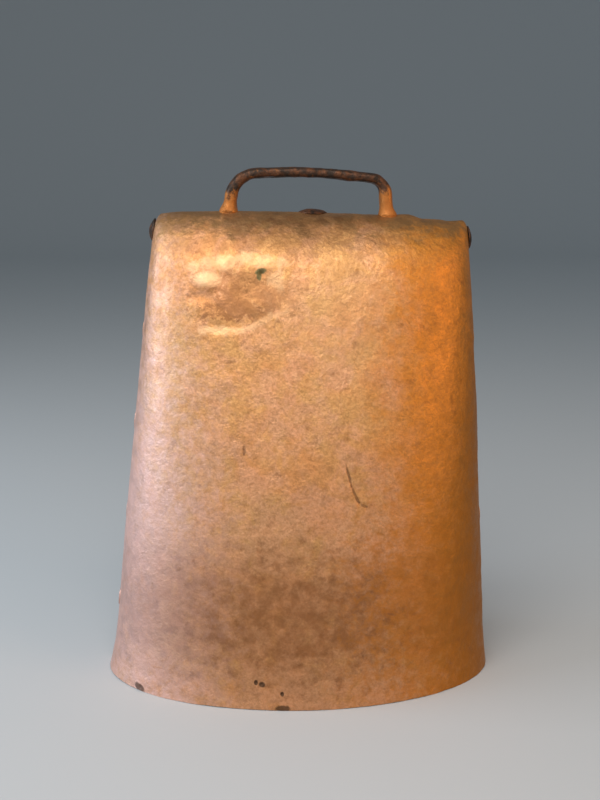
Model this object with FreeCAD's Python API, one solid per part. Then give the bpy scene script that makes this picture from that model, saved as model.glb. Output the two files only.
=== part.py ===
# A hand-forged cowbell of coppered sheet iron: two hammered half shells lapped, riveted and brazed
# together, a bar handle for a collar strap, and a clapper hung from a staple on an oval link.
#
# Frame: +Z up, millimetres, origin at the middle of the mouth in the plane that the rim stands on.
# -Y is the front, +X the bell's right as seen from the front. The bell is first built upright and
# then leaned a little about Y, because its mouth was trimmed by hand and isn't quite square.

import FreeCAD
import Part
import math
import os
from FreeCAD import Placement, Rotation, Vector

# ---- driving dimensions, in millimetres and degrees ----

HEIGHT = 225.2            # mouth plane to the top of the crown's ridge
MOUTH_WIDTH = 187.8       # outside, along X, before the lip flares
MOUTH_DEPTH = 111.6       # outside, along Y, before the lip flares
CROWN_WIDTH = 147.4       # width that the two sides run up to at the ridge
CROWN_DEPTH = 46.0        # depth that the two faces would reach at the ridge, if they didn't roll over
SIDE_BULGE = 0.6          # how far the narrow sides belly out at half height
FACE_BULGE = 4.5          # how far the broad faces belly out at half height
CROWN_ROLL = 27.0         # height over which the faces roll over to the ridge
RIDGE_DROP = 2.0          # how far the ridge falls from its middle to its two ends
CORNER_ROUND = 2.5        # how far the ridge's two corners are hammered in
CORNER_HEIGHT = 6.0       # height over which that rounding runs
MOUTH_SQUARENESS = 2.0    # exponent of the section at the mouth: 2 is an ellipse
CROWN_SQUARENESS = 3.0    # exponent of the section at the crown: flatter faces, tighter sides
LIP_FLARE = 1.6           # how far the lip is turned out
LIP_HEIGHT = 24.0         # height over which it is turned out
LEAN = 1.5                # degrees that the bell leans towards +X on its hand-trimmed mouth

SHEET = 1.8               # thickness of the sheet iron
BRAZE_FILM = 0.1          # film of brazing metal between the lapped sheets
LAP_WIDTH = 16.0          # width of the lap, centred on the plane Y = 0

RIVET_DIAMETER = 5.0
RIVET_COUNT = 4           # flush rivets along each side, below the corner rivet
RIVET_PITCH = 45.0
RIVET_LOWEST = 34.0       # height of the lowest rivet
FLUSH_HEAD_DIAMETER = 10.0
FLUSH_HEAD_HEIGHT = 0.6
CORNER_RIVET_DROP = 10.0  # from the ridge down to the two corner rivets
CORNER_HEAD_DIAMETER = 11.0
CORNER_HEAD_HEIGHT = 2.0
CLENCH_DIAMETER = 9.0     # formed end inside the bell
CLENCH_HEIGHT = 1.6

HANDLE_SPAN = 74.6        # between the centrelines of the two legs, at the ridge
HANDLE_OFFSET = -1.9      # the handle stands this far off the middle
HANDLE_DRAFT = 7.5        # degrees that each leg leans inwards
HANDLE_RISE_LEFT = 16.7   # ridge to the bar's centreline, where it would meet the left leg's
HANDLE_RISE_CREST = 18.8  # the same where the bar is highest
HANDLE_RISE_RIGHT = 15.9  # the same over the right leg
HANDLE_CREST_OFFSET = -2.0  # the bar is highest this far off the middle
HANDLE_BEND_LEFT = 12.0   # radii of the centreline
HANDLE_BEND_CREST = 180.0
HANDLE_BEND_RIGHT = 8.0
HANDLE_BAR = 4.7          # thickness of the bar, in the plane of the handle
HANDLE_LEG = 6.2          # thickness of the legs
HANDLE_DEPTH = 9.5        # front to back
HANDLE_FOOT = 9.0         # the foot is upset to this width where it sits on the ridge
HANDLE_FOOT_DEPTH = 12.0
HANDLE_FOOT_HEIGHT = 5.0
HANDLE_SQUARENESS = 2.8   # exponent of the bar's section
HANDLE_STATION = 2.0      # the bar's sections are about this far apart
TENON_DIAMETER = 6.0
HOLE_CLEARANCE = 0.1      # radial, round every tenon, shank and rivet
SEAT_GAP = 0.05           # between a seated piece and what it is hammered down on

ROVE_DIAMETER = 15.0      # washers under the clenched ends, dished to the crown
ROVE_THICKNESS = 1.5

STAPLE_SHANK = 6.0
STAPLE_HEAD_DIAMETER = 13.0
STAPLE_HEAD_HEIGHT = 2.4
STAPLE_NECK = 2.0         # from the rove down to the top of the ring
STAPLE_WIRE = 5.0
STAPLE_BEND = 6.0         # radius of the centreline at the ring's four bends
STAPLE_STRAIGHT = 4.0     # length of the straights between them

LINK_WIRE = 4.5
LINK_BEND = 5.75          # radius of the centreline at the link's four bends
LINK_WIDE = 3.0           # length of the straights across its two ends
LINK_TALL = 13.0          # length of the straights along its two sides
HANG_GAP = 0.3            # between a hanging loop and what it hangs on

EYE_WIRE = 6.0
EYE_RING = 8.0            # radius of the clapper eye's centreline
ROD_TOP_DIAMETER = 7.0
ROD_FOOT_DIAMETER = 10.0
BALL_DIAMETER = 30.0
BALL_LENGTH = 32.0
BALL_FLAT_DIAMETER = 14.0  # flats at the ball's top and bottom
BALL_CENTRE_HEIGHT = 44.0  # above the mouth plane
BALL_BORE = 7.0
BALL_FIT = 0.05            # radial, between the rod's tenon and the ball
CLAPPER_CLENCH_DIAMETER = 11.0
CLAPPER_CLENCH_HEIGHT = 4.0

# ---- worked out ----

TRIM = 10.0               # the shells run this far below the mouth before they are trimmed
OUTLINE_COLUMNS = 24      # points over half of the bell's section
WALL_ROWS = 6             # sections between the lip and the crown's roll
ROLL_ANGLES = (12, 24, 36, 48, 60, 70, 79, 85, 90)   # degrees round the roll, of the sections there
NEAR = 1e-4               # points closer than this are one
ROOT = 0.5                # how far a clenched end reaches up into what it closes, before it is cut
HANDLE_COLUMNS = 32       # points round the bar's section
BIG = 4.0 * max(HEIGHT, MOUTH_WIDTH, MOUTH_DEPTH)
INNER_FACE = 2.0 * SHEET + BRAZE_FILM       # inset of the bell's inside, where the sheets are lapped
CLENCH_FACE = INNER_FACE + ROVE_THICKNESS   # inset of the roves' inside faces
CENTRE = Vector(0, 0, 0)
X_AXIS, Y_AXIS, Z_AXIS = Vector(1, 0, 0), Vector(0, 1, 0), Vector(0, 0, 1)


# ---- the bell's outline ----

def half_width(z):
    """Half the outside width at height z."""
    share = z / HEIGHT
    straight = MOUTH_WIDTH / 2 + (CROWN_WIDTH - MOUTH_WIDTH) / 2 * share
    return straight + 4 * SIDE_BULGE * share * (1 - share) + lip_flare(z)


def half_depth(z):
    """Half the outside depth at height z, before the faces roll over to the ridge."""
    share = z / HEIGHT
    straight = MOUTH_DEPTH / 2 + (CROWN_DEPTH - MOUTH_DEPTH) / 2 * share
    return straight + 4 * FACE_BULGE * share * (1 - share) + lip_flare(z)


def lip_flare(z):
    """How far the lip stands out at height z."""
    return LIP_FLARE * max(0.0, 1 - z / LIP_HEIGHT) ** 2


def squareness(z):
    """Exponent of the section at height z."""
    share = min(1.0, max(0.0, z / (HEIGHT - CROWN_ROLL)))
    return MOUTH_SQUARENESS + (CROWN_SQUARENESS - MOUTH_SQUARENESS) * share ** 1.5


def fall(rise, height):
    """The quarter-ellipse share that is left after rising by that much of the height."""
    share = round(min(1.0, max(0.0, rise / height)), 9)   # exactly 1 at the ridge, so that it closes
    return math.sqrt(1 - share * share)


def superellipse(angle, power):
    """A point on a superellipse of half-width and half-depth 1, at that angle."""
    cosine, sine = math.cos(angle), math.sin(angle)
    reach = (abs(cosine) ** power + abs(sine) ** power) ** (-1 / power)
    return reach * cosine, reach * sine


def outline_point(inset, z, angle):
    """A point of the outline at height z, at that angle round the section, inset inwards."""
    top = HEIGHT - inset
    corner = CORNER_ROUND * (1 - fall(z - (top - CORNER_HEIGHT), CORNER_HEIGHT))
    width = half_width(z) - inset - corner
    rise = z - (HEIGHT - CROWN_ROLL)
    depth = (half_depth(z) - inset) * fall(rise, CROWN_ROLL - inset)
    across, through = superellipse(angle, squareness(z))
    x = width * across
    return Vector(x, depth * through, z - ridge_drop(x) * (max(0.0, rise) / CROWN_ROLL) ** 2)


def ridge_drop(x):
    """How far the ridge lies below its middle, that far off the middle."""
    return RIDGE_DROP * (2 * x / CROWN_WIDTH) ** 2


def outline_heights(inset, bottom):
    """Heights of the sections, closer together where the faces roll over to the ridge."""
    roll = HEIGHT - CROWN_ROLL
    wall = [bottom, bottom / 2, 0, LIP_HEIGHT / 4, LIP_HEIGHT / 2, LIP_HEIGHT]
    wall += [LIP_HEIGHT + (roll - LIP_HEIGHT) * i / WALL_ROWS for i in range(1, WALL_ROWS + 1)]
    return wall + [roll + (CROWN_ROLL - inset) * math.sin(math.radians(a)) for a in ROLL_ANGLES]


def skin(rows):
    """A smooth face through rows of points."""
    surface = Part.BSplineSurface()
    surface.interpolate(rows)
    return surface.toShape()


def sewn(faces):
    """The solid that closed faces make."""
    shell = Part.Shell(faces)
    shell.sewShape()
    solid = Part.Solid(shell)
    if solid.Volume < 0:
        solid.reverse()
    return solid


def flat_cap(edges):
    """The flat face that a ring of edges bounds."""
    return Part.Face(Part.Wire(Part.__sortEdges__(edges)))


def body(inset, extra=0.0):
    """The bell as one solid block, with its surface moved inwards by inset."""
    heights = outline_heights(inset, -TRIM - extra)
    faces = []
    for side in (-1, 1):
        angles = [side * math.pi * i / OUTLINE_COLUMNS for i in range(OUTLINE_COLUMNS + 1)]
        faces.append(skin([[outline_point(inset, z, a) for z in heights] for a in angles]))
    low = heights[0] + NEAR
    rim = [edge for face in faces for edge in face.Edges if edge.BoundBox.ZMax < low]
    return sewn(faces + [flat_cap(rim)])


def trimmed(shape):
    """The bell's piece leaned over, and cut off level with the mouth plane."""
    return leaned(shape).common(Part.makeBox(2 * BIG, 2 * BIG, BIG, Vector(-BIG, -BIG, 0)))


def leaned(shape):
    """The bell's piece, leaned from upright to how it stands on its mouth."""
    return shape.rotated(CENTRE, Y_AXIS, LEAN)


# ---- round pieces ----

def turned(profile):
    """A solid turned about Z from an outline of edges that starts and ends on the axis."""
    last, first = profile[-1].Vertexes[-1].Point, profile[0].Vertexes[0].Point
    face = Part.Face(Part.Wire(profile + [Part.makeLine(last, first)]))
    return face.revolve(CENTRE, Z_AXIS, 360)


def domed_head(diameter, height, root):
    """A domed head along +Z that stands on Z = 0 and has a straight root below it."""
    radius = diameter / 2
    sphere = (radius ** 2 + height ** 2) / (2 * height)
    middle = math.asin(min(1.0, radius / sphere)) / 2
    shoulder = Vector(sphere * math.sin(middle), 0, height - sphere + sphere * math.cos(middle))
    return turned([
        Part.makeLine(Vector(0, 0, -root), Vector(radius, 0, -root)),
        Part.makeLine(Vector(radius, 0, -root), Vector(radius, 0, 0)),
        Part.Arc(Vector(radius, 0, 0), shoulder, Vector(0, 0, height)).toShape(),
    ])


def placed(shape, position, direction):
    """The shape moved so that its Z axis starts at position and points along direction."""
    return shape.transformed(Placement(position, Rotation(Z_AXIS, direction)).toMatrix())


def shank(radius, position, direction, inwards, outwards):
    """A round bar through the position, so far against the direction and so far along it."""
    bar = Part.makeCylinder(radius, inwards + outwards, Vector(0, 0, -inwards))
    return placed(bar, position, direction)


def wire_ring(bend, wire, middle, across, wide, tall):
    """A ring of round wire, in the plane of across and Z: four quarter bends joined by straights.

    bend is the radius of the bends' centreline, wire the wire's diameter, across the unit vector X or Y,
    and wide and tall are the lengths of the straights.
    """
    normal = across.cross(Z_AXIS)
    reach = normal * (bend + wire)
    pieces = []
    for side in (-1, 1):
        flank = middle + across * (side * (wide / 2 + bend)) - Z_AXIS * (tall / 2)
        pieces.append(Part.makeCylinder(wire / 2, tall, flank))
        end = middle + Z_AXIS * (side * (tall / 2 + bend)) - across * (wide / 2)
        pieces.append(Part.makeCylinder(wire / 2, wide, end, across))
        for height in (-1, 1):
            centre = middle + across * (side * wide / 2) + Z_AXIS * (height * tall / 2)
            far = centre + across * (side * (bend + wire)) + Z_AXIS * (height * (bend + wire))
            quarter = box_between(centre - reach, far + reach)
            pieces.append(Part.makeTorus(bend, wire / 2, centre, normal).common(quarter))
    return pieces[0].fuse(pieces[1:])


def box_between(first, second):
    """The box with those two opposite corners."""
    low = Vector(*map(min, first, second))
    return Part.makeBox(*[abs(b - a) for a, b in zip(first, second)], low)


# ---- what goes through the sheets ----

class Fastening:
    """A place where something passes through both sheets, from outside to inside."""

    def __init__(self, position, direction, diameter):
        self.position = position
        self.direction = direction
        self.radius = diameter / 2

    def hole(self):
        """The tool that cuts the hole for it."""
        reach = 2 * CLENCH_FACE
        return shank(self.radius + HOLE_CLEARANCE, self.position, self.direction, reach, reach)

    def head(self, diameter, height):
        """A domed head on the outside, shaped to the bell's surface."""
        dome = placed(domed_head(diameter, height, SHEET), self.position, self.direction)
        return dome.cut(body(-SEAT_GAP))

    def clench(self, diameter, height, face):
        """A domed end inside, hammered down on the surface at that inset."""
        inwards = self.direction * -1
        dome = domed_head(diameter, height, SHEET)
        dome = placed(dome, self.position + inwards * face, inwards)
        return dome.common(body(face + SEAT_GAP))

    def rod(self, inwards, outwards):
        """The round bar that fills the hole, apart from its clearance."""
        return shank(self.radius, self.position, self.direction, inwards, outwards)


def side_fastening(side, height, diameter):
    """A fastening through the middle of a lap, square to the bell's side."""
    angle = 0 if side > 0 else math.pi
    low, high = outline_point(0, height - 1, angle), outline_point(0, height + 1, angle)
    along = (high - low).normalize()
    return Fastening(outline_point(0, height, angle), Vector(side * along.z, 0, -side * along.x), diameter)


def crown_fastening(x, diameter):
    """A fastening straight down through the crown's ridge."""
    return Fastening(Vector(x, 0, HEIGHT - ridge_drop(x)), Z_AXIS, diameter)


def rivet(fastening, head_diameter, head_height):
    """A rivet with a domed head outside and its end clenched inside."""
    rod = fastening.rod(INNER_FACE + CLENCH_HEIGHT / 2, head_height / 2)
    head = fastening.head(head_diameter, head_height)
    return rod.fuse([head, fastening.clench(CLENCH_DIAMETER, CLENCH_HEIGHT, INNER_FACE)])


def rove(fastening):
    """The washer inside the crown, dished to its surface."""
    blank = shank(ROVE_DIAMETER / 2, fastening.position, Z_AXIS, CROWN_ROLL, 0)
    dished = blank.common(body(INNER_FACE + SEAT_GAP)).cut(body(CLENCH_FACE))
    return dished.cut(fastening.hole())


# ---- the handle ----

def straight_run(start, end):
    """Stations along a straight run, about HANDLE_STATION apart, without its start."""
    steps = max(1, round((end - start).Length / HANDLE_STATION))
    direction = (end - start).normalize()
    return [(start + (end - start) * (i / steps), direction) for i in range(1, steps + 1)]


def rounded_path(points, radii):
    """Stations along straight runs joined by arcs: each one is a point and the direction there."""
    stations = [(points[0], (points[1] - points[0]).normalize())]
    for before, corner, after, radius in zip(points, points[1:], points[2:], radii):
        inwards, onwards = (corner - before).normalize(), (after - corner).normalize()
        turn = inwards.getAngle(onwards)
        start = corner - inwards * (radius * math.tan(turn / 2))
        stations += straight_run(stations[-1][0], start)
        axis = inwards.cross(onwards)
        steps = max(2, round(radius * turn / HANDLE_STATION))
        for i in range(1, steps + 1):
            bent = Rotation(axis, math.degrees(turn * i / steps)).multVec(inwards)
            chord = Rotation(axis, math.degrees(turn * i / steps / 2)).multVec(inwards)
            length = 2 * radius * math.sin(turn * i / steps / 2)
            stations.append((start + chord * length, bent))
    return stations + straight_run(stations[-1][0], points[-1])


def handle_path():
    """The handle's centreline, from just inside the ridge on the left to the same on the right."""
    slant = math.tan(math.radians(HANDLE_DRAFT))
    corners = [Vector(HANDLE_CREST_OFFSET, 0, HEIGHT + HANDLE_RISE_CREST)]
    for side, rise in ((-1, HANDLE_RISE_LEFT), (1, HANDLE_RISE_RIGHT)):
        foot = Vector(HANDLE_OFFSET + side * HANDLE_SPAN / 2, 0, HEIGHT)
        leg = Vector(-side * slant, 0, 1)
        ends = [foot + leg * rise, foot - leg * (HANDLE_FOOT_HEIGHT / 2)]
        corners = corners + ends if side > 0 else ends[::-1] + corners
    return rounded_path(corners, [HANDLE_BEND_LEFT, HANDLE_BEND_CREST, HANDLE_BEND_RIGHT])


def handle_section(point, direction):
    """Points round the forged bar's section at that point of its centreline."""
    upset = min(1.0, max(0.0, 1 - (point.z - HEIGHT) / HANDLE_FOOT_HEIGHT)) ** 2
    thickness = HANDLE_LEG + (HANDLE_BAR - HANDLE_LEG) * abs(direction.x)
    thickness += (HANDLE_FOOT - HANDLE_LEG) * upset
    depth = HANDLE_DEPTH + (HANDLE_FOOT_DEPTH - HANDLE_DEPTH) * upset
    sideways = direction.cross(Y_AXIS)
    points = []
    for i in range(HANDLE_COLUMNS + 1):
        across, through = superellipse(2 * math.pi * i / HANDLE_COLUMNS, HANDLE_SQUARENESS)
        points.append(point + sideways * (thickness / 2 * across) + Y_AXIS * (depth / 2 * through))
    points[-1] = points[0]
    return points


def handle():
    """The forged arch with upset feet on the ridge, and its two tenons clenched inside the crown."""
    sections = [handle_section(point, direction) for point, direction in handle_path()]
    half = HANDLE_COLUMNS // 2
    faces = [skin([row[:half + 1] for row in sections]), skin([row[half:] for row in sections])]
    for row in (sections[0], sections[-1]):
        ends = [edge for face in faces for edge in face.Edges if ends_on(edge, row[0], row[half])]
        faces.append(flat_cap(ends))
    whole = sewn(faces).cut(body(-SEAT_GAP))
    for place in handle_fastenings():
        whole = whole.fuse([
            place.rod(CLENCH_FACE + CLENCH_HEIGHT / 2, HANDLE_FOOT_HEIGHT / 2),
            place.clench(CLENCH_DIAMETER, CLENCH_HEIGHT, CLENCH_FACE),
        ])
    return whole


def ends_on(edge, first, second):
    """Whether the edge runs between those two points."""
    gaps = [min((end.Point - point).Length for end in edge.Vertexes) for point in (first, second)]
    return max(gaps) < NEAR


def handle_fastenings():
    """Where the handle's left and right tenons pass through the crown."""
    return [crown_fastening(HANDLE_OFFSET + side * HANDLE_SPAN / 2, TENON_DIAMETER) for side in (-1, 1)]


# ---- the staple, and what hangs from it ----

STAPLE_RING = STAPLE_BEND + STAPLE_STRAIGHT / 2   # the ring's middle to its centreline
STAPLE_RING_CENTRE = HEIGHT - CLENCH_FACE - STAPLE_NECK - STAPLE_WIRE / 2 - STAPLE_RING


def staple():
    """The clapper's staple: a peened head on the crown, a shank through it and a ring inside."""
    place = crown_fastening(0, STAPLE_SHANK)
    shaft = place.rod(CLENCH_FACE + STAPLE_NECK + STAPLE_WIRE / 2, STAPLE_HEAD_HEIGHT / 2)
    middle = Vector(0, 0, STAPLE_RING_CENTRE)
    ring = wire_ring(STAPLE_BEND, STAPLE_WIRE, middle, X_AXIS, STAPLE_STRAIGHT, STAPLE_STRAIGHT)
    return shaft.fuse([place.head(STAPLE_HEAD_DIAMETER, STAPLE_HEAD_HEIGHT), ring])


def hanging_points():
    """Middles of the staple's lowest wire, the link's lowest wire and the clapper eye, hung plumb."""
    ring = leaned(Part.Vertex(Vector(0, 0, STAPLE_RING_CENTRE))).Point
    staple_wire = ring - Z_AXIS * STAPLE_RING
    link_top = staple_wire + Z_AXIS * ((STAPLE_WIRE + LINK_WIRE) / 2 + HANG_GAP)
    link_wire = link_top - Z_AXIS * (2 * LINK_BEND + LINK_TALL)
    eye = link_wire + Z_AXIS * ((LINK_WIRE + EYE_WIRE) / 2 + HANG_GAP - EYE_RING)
    return staple_wire, link_wire, eye


def link():
    """An oval link of round wire, in the plane across X."""
    middle = hanging_points()[1] + Z_AXIS * (LINK_BEND + LINK_TALL / 2)
    return wire_ring(LINK_BEND, LINK_WIRE, middle, Y_AXIS, LINK_WIDE, LINK_TALL)


def clapper_rod():
    """The clapper's forged rod: an eye on top, a taper, a shoulder on the ball and a clenched tenon."""
    eye = hanging_points()[2]
    rod_top = eye - Z_AXIS * EYE_RING
    ball = Vector(eye.x, 0, BALL_CENTRE_HEIGHT)
    ball_top = ball + Z_AXIS * (BALL_LENGTH / 2 + SEAT_GAP)
    ball_foot = ball - Z_AXIS * (BALL_LENGTH / 2 + SEAT_GAP)
    taper = Part.makeCone(ROD_FOOT_DIAMETER / 2, ROD_TOP_DIAMETER / 2, rod_top.z - ball_top.z, ball_top)
    tenon = Part.makeCylinder(BALL_BORE / 2 - BALL_FIT, ball_top.z - ball_foot.z, ball_foot)
    end = placed(domed_head(CLAPPER_CLENCH_DIAMETER, CLAPPER_CLENCH_HEIGHT, ROOT), ball_foot, Z_AXIS * -1)
    end = end.cut(Part.makeBox(BIG, BIG, BIG, ball_foot + Vector(-BIG / 2, -BIG / 2, 0)))
    return Part.makeTorus(EYE_RING, EYE_WIRE / 2, eye, Y_AXIS).fuse([taper, tenon, end])


def clapper_ball():
    """The striker: a barrel-round ball with a flat at each end and a bore through it."""
    half_length, belly, flat = BALL_LENGTH / 2, BALL_DIAMETER / 2, BALL_FLAT_DIAMETER / 2
    low, middle, high = Vector(flat, 0, -half_length), Vector(belly, 0, 0), Vector(flat, 0, half_length)
    profile = [
        Part.makeLine(Vector(0, 0, -half_length), low),
        Part.Arc(low, middle, high).toShape(),
        Part.makeLine(high, Vector(0, 0, half_length)),
    ]
    bore = Part.makeCylinder(BALL_BORE / 2, 2 * BALL_LENGTH, Vector(0, 0, -BALL_LENGTH))
    centre = Vector(hanging_points()[2].x, 0, BALL_CENTRE_HEIGHT)
    return turned(profile).cut(bore).translated(centre)


# ---- the whole bell ----

def side_fastenings(side):
    """The corner rivet's place on that side, then the flush rivets' from the lowest up."""
    corner = side_fastening(side, HEIGHT - CORNER_RIVET_DROP, RIVET_DIAMETER)
    rows = [RIVET_LOWEST + RIVET_PITCH * i for i in range(RIVET_COUNT)]
    return corner, [side_fastening(side, height, RIVET_DIAMETER) for height in rows]


def half_shell(inset, side):
    """One sheet-iron half shell, whose outside lies at that inset; side is -1 for the front."""
    sheet = body(inset).cut(body(inset + SHEET, TRIM))
    near_edge = LAP_WIDTH / 2 - BIG if side < 0 else -LAP_WIDTH / 2
    return sheet.common(Part.makeBox(2 * BIG, BIG, 2 * BIG, Vector(-BIG, near_edge, -BIG)))


def cowbell():
    """Every piece of the bell by name."""
    corners, seams = {}, {}
    for name, side in (("left", -1), ("right", 1)):
        corners[name], seams[name] = side_fastenings(side)
    crown = handle_fastenings() + [crown_fastening(0, STAPLE_SHANK)]
    holes = [place.hole() for place in [*corners.values(), *seams["left"], *seams["right"], *crown]]
    pieces = {
        "front_sheet": trimmed(half_shell(0, -1).cut(holes)),
        "back_sheet": trimmed(half_shell(SHEET + BRAZE_FILM, 1).cut(holes)),
        "handle": leaned(handle()),
        "left_handle_rove": leaned(rove(crown[0])),
        "right_handle_rove": leaned(rove(crown[1])),
        "clapper_staple": leaned(staple()),
        "staple_rove": leaned(rove(crown[2])),
        "clapper_link": link(),
        "clapper_rod": clapper_rod(),
        "clapper_ball": clapper_ball(),
    }
    for name in ("left", "right"):
        corner = rivet(corners[name], CORNER_HEAD_DIAMETER, CORNER_HEAD_HEIGHT)
        pieces[name + "_corner_rivet"] = leaned(corner)
        flush = [rivet(place, FLUSH_HEAD_DIAMETER, FLUSH_HEAD_HEIGHT) for place in seams[name]]
        pieces[name + "_seam_rivets"] = leaned(Part.makeCompound(flush))
    return pieces


os.makedirs("parts", exist_ok=True)
for node, shape in cowbell().items():
    shape.exportStep("parts/" + node + ".step")
    state = "valid" if shape.isValid() else "NOT VALID"
    print(node, len(shape.Solids), "solids", round(shape.Volume, 1), "mm3", state)
for node, point in zip(("staple wire", "link wire", "clapper eye"), hanging_points()):
    print(node, [round(value, 3) for value in point])
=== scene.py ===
"""The looks of a hand-forged cowbell: coppered sheet iron, a forged handle and an iron clapper.

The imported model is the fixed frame. Both sheets, the handle, the rivets and the clapper are modelled
again here with their hammer marks, dents and brazing, each in the place that its node holds.
Lengths are in metres, +Z is up, -Y is the front and the bell stands on Z = 0.
"""

import logging
import math
from dataclasses import dataclass, field
from enum import Enum

import bmesh
import bpy
import numpy as np
from mathutils import Matrix, Vector


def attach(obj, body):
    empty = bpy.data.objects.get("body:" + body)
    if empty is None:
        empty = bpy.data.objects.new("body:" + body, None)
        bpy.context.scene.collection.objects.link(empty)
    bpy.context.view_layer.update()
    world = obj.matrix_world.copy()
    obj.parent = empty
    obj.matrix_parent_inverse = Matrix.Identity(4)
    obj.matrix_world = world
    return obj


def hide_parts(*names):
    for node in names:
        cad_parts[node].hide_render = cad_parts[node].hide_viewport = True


Piece = bpy.types.Object
Material = bpy.types.Material
Socket = bpy.types.NodeSocket
Colour = tuple[float, float, float]

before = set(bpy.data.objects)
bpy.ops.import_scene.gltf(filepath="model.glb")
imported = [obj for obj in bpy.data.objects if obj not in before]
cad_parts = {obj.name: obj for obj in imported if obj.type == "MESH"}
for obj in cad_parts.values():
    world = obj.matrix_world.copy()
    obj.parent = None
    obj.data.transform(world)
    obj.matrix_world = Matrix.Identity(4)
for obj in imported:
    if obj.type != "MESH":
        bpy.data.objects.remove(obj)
log = logging.getLogger("cowbell")
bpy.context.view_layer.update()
MM = 0.001
LEAN = math.radians(1.5)          # the bell leans this far towards +X on its mouth
LAP = 8.0 * MM                    # each sheet laps this far past the middle of the sides
SHEET = 1.8 * MM                  # thickness of the sheet iron
WALL = 2 * SHEET + 0.1 * MM       # the lap: both sheets with the braze between them
RIDGE = 225.2 * MM                # the ridge's height
RIDGE_HALF = 73.7 * MM            # half the ridge's width
RIDGE_DROP = 2.0 * MM             # how far the ridge's ends lie below its middle
MOUTH_HALF = 93.9 * MM            # half the mouth's width, before the lip flares
SIDE_BOW = 2.4 * MM               # how strongly the sides bow outwards
LIP_FLARE = 1.6 * MM              # how far the lip flares
LIP_HEIGHT = 24.0 * MM            # height at which the flare starts
RIGHT, BACK, UP = Vector((1, 0, 0)), Vector((0, 1, 0)), Vector((0, 0, 1))
LEFT, FRONT, DOWN = Vector((-1, 0, 0)), Vector((0, -1, 0)), Vector((0, 0, -1))


# ---- working tools ----

class Select(Enum):
    """What edit mode works on."""

    VERT = "VERT"
    EDGE = "EDGE"


class Falloff(Enum):
    """How a push of the hammer fades towards its reach."""

    SMOOTH = "SMOOTH"
    SHARP = "SHARP"


def only(*objects: Piece) -> None:
    """Selects these objects alone, and makes the first one active."""
    bpy.ops.object.select_all(action="DESELECT")
    for piece in objects:
        piece.select_set(True)
    bpy.context.view_layer.objects.active = objects[0]


def edit(piece: Piece, mode: Select = Select.VERT) -> None:
    """Opens the piece in edit mode with nothing selected."""
    only(piece)
    bpy.ops.object.mode_set(mode="EDIT")
    bpy.ops.mesh.select_mode(type=mode.value)
    bpy.ops.mesh.select_all(action="DESELECT")


def edit_all(piece: Piece) -> None:
    """Opens the piece in edit mode with everything selected."""
    edit(piece)
    bpy.ops.mesh.select_all(action="SELECT")


def done() -> None:
    """Closes edit mode."""
    bpy.ops.object.mode_set(mode="OBJECT")


def named(name: str) -> Piece:
    """Names the active object and its mesh."""
    piece = bpy.context.active_object
    piece.name = name
    piece.data.name = name
    return piece


def apply_place(piece: Piece) -> None:
    """Moves the object's place, turn and size into its mesh."""
    only(piece)
    bpy.ops.object.transform_apply(location=True, rotation=True, scale=True)


def modify(piece: Piece, kind: str, **settings: object) -> None:
    """Adds a modifier with those settings and applies it.

    Args:
        piece: the object to change.
        kind: Blender's name for the modifier's type.
        settings: the modifier's properties by name.
    """
    only(piece)
    modifier = piece.modifiers.new(kind.title(), kind)
    for key, value in settings.items():
        setattr(modifier, key, value)
    bpy.ops.object.modifier_apply(modifier=modifier.name)


def divide(piece: Piece, levels: int) -> None:
    """Divides every face of the piece that many times, without rounding it."""
    modify(piece, "SUBSURF", subdivision_type="SIMPLE", levels=levels, render_levels=levels)


def wrap(piece: Piece, form: Piece, levels: int) -> None:
    """Draws the piece down onto a form, divides it and draws it down again.

    Args:
        piece: the object to draw down.
        form: the shape it takes, which is discarded.
        levels: how many times its faces are divided.
    """
    modify(piece, "SHRINKWRAP", target=form, wrap_method="NEAREST_SURFACEPOINT")
    divide(piece, levels)
    modify(piece, "SHRINKWRAP", target=form, wrap_method="NEAREST_SURFACEPOINT")
    discard(form)


def copy_of(piece: Piece, name: str) -> Piece:
    """A free copy of the piece with a mesh of its own, at rest at the origin."""
    twin = piece.copy()
    twin.data = piece.data.copy()
    twin.parent = None
    twin.matrix_world = Matrix.Identity(4)
    twin.name = name
    twin.data.name = name
    for key in [key for key in twin.keys() if key.startswith("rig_")]:
        del twin[key]
    bpy.context.scene.collection.objects.link(twin)
    return twin


def weld(piece: Piece, distance: float) -> None:
    """Merges the vertices that lie within that distance of each other."""
    edit_all(piece)
    bpy.ops.mesh.remove_doubles(threshold=distance)
    done()


def bisect(piece: Piece, point: Vector, normal: Vector) -> None:
    """Cuts off all that lies on the normal's side of the plane.

    Args:
        piece: the object to cut.
        point: a point on the plane.
        normal: the direction of the side that goes.
    """
    edit_all(piece)
    bpy.ops.mesh.bisect(plane_co=point, plane_no=normal, clear_outer=True)
    done()


def discard(piece: Piece) -> None:
    """Removes a working object and its mesh."""
    mesh = piece.data
    bpy.data.objects.remove(piece)
    bpy.data.meshes.remove(mesh)


def relief(piece: Piece, kind: str, size: float, depth: float, **settings: object) -> None:
    """Works a procedural relief into the surface, up to depth out and depth in.

    Args:
        piece: the object to work.
        kind: Blender's name for the texture's type.
        size: the size of the relief's features.
        depth: how far the relief reaches each way.
        settings: the texture's other properties by name.
    """
    texture = bpy.data.textures.new(piece.name + "_" + kind.lower(), kind)
    texture.noise_scale = size
    for key, value in settings.items():
        setattr(texture, key, value)
    modify(piece, "DISPLACE", texture=texture, texture_coords="LOCAL", strength=2 * depth,
           mid_level=0.5)
    bpy.data.textures.remove(texture)


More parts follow.
